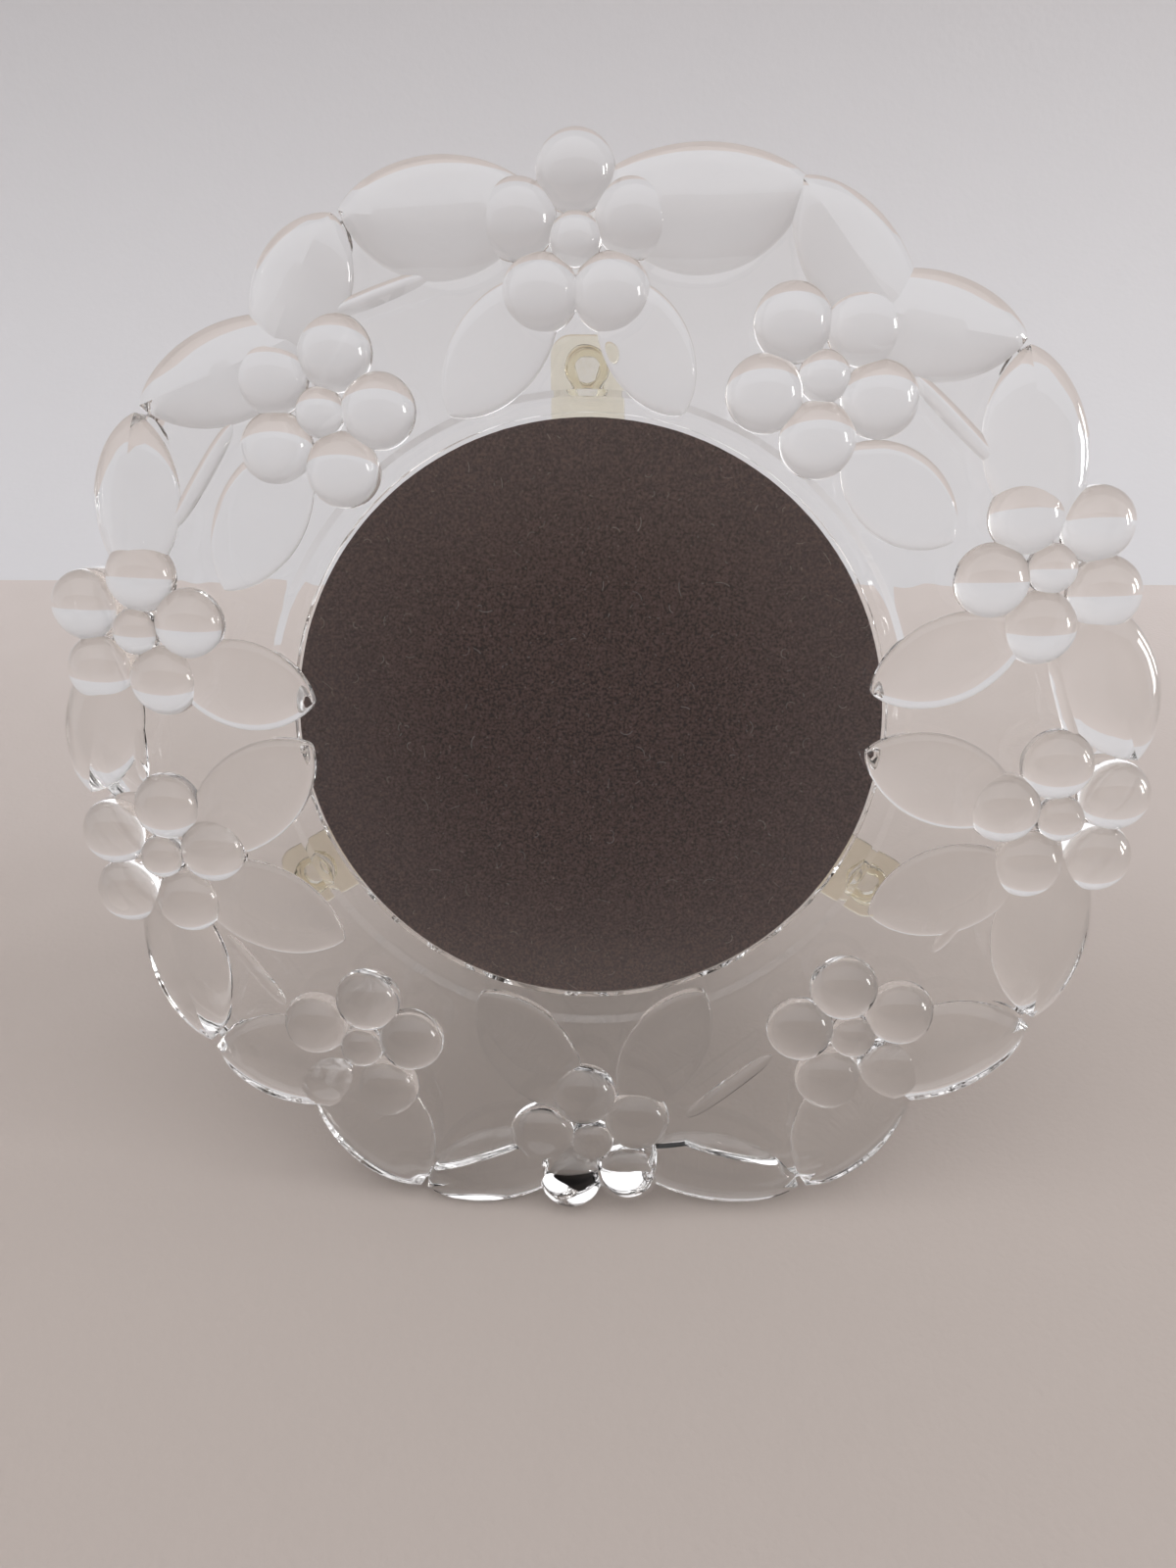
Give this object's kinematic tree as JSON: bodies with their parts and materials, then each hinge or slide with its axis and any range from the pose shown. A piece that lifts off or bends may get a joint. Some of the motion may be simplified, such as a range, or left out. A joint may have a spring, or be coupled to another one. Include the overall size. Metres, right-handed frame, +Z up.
{
  "type": "round photo frame",
  "caption": "Round pressed-glass table frame: a wreath of flowers and leaves around a flat window, turn clips that hold a flocked back board, and a hinged easel leg with a ribbon stay.",
  "frame": {"origin": "on the ground flat under the bottom flower, where the glass stands on the table, in the middle of the frame's width", "axes": "+Z up; the frame faces -Y and leans back towards +Y; +X to the right as seen from the front"},
  "size_m": [0.1829, 0.0917, 0.1722],
  "materials": {
    "pressed_glass": "polished",
    "glue": "satin",
    "stud_plastic": "gloss",
    "clip_plastic": "gloss",
    "flock": "matte",
    "hardboard": "matte",
    "velvet": "matte",
    "paper": "matte",
    "hinge_steel": "satin",
    "rivet_steel": "satin",
    "ribbon": "satin"
  },
  "bodies": {
    "frame": {"glass_body": "pressed_glass", "adhesive_pads": "glue", "clip_studs": "stud_plastic", "front_lining": "flock", "backing_board": "hardboard", "back_lining": "velvet", "board_hinge_leaf": "hinge_steel", "board_hinge_rivets": "rivet_steel", "stay_board_rivet": "rivet_steel", "hinge_pin": "hinge_steel", "ribbon_stay": "ribbon"},
    "easel": {"strut_core": "hardboard", "strut_facing": "paper", "strut_velvet": "velvet", "strut_hinge_leaf": "hinge_steel", "strut_hinge_rivets": "rivet_steel", "stay_strut_rivet": "rivet_steel"},
    "clip_top": {"turn_clip_top": "clip_plastic"},
    "clip_left": {"turn_clip_left": "clip_plastic"},
    "clip_right": {"turn_clip_right": "clip_plastic"}
  },
  "joints": [
    {"name": "easel_hinge", "type": "hinge", "parent": "frame", "child": "easel", "pos_m": [0, 0.04195, 0.10516], "axis": [1, 0, 0], "range_deg": [-38, 0], "deforming": ["ribbon_stay"]},
    {"name": "clip_top_turn", "type": "hinge", "parent": "frame", "child": "clip_top", "pos_m": [0, 0.05027, 0.13757], "axis": [0, -0.9511, 0.309], "continuous": true},
    {"name": "clip_left_turn", "type": "hinge", "parent": "frame", "child": "clip_left", "pos_m": [-0.04971, 0.02367, 0.05569], "axis": [0, -0.9511, 0.309], "continuous": true},
    {"name": "clip_right_turn", "type": "hinge", "parent": "frame", "child": "clip_right", "pos_m": [0.04971, 0.02367, 0.05569], "axis": [0, -0.9511, 0.309], "continuous": true}
  ]
}
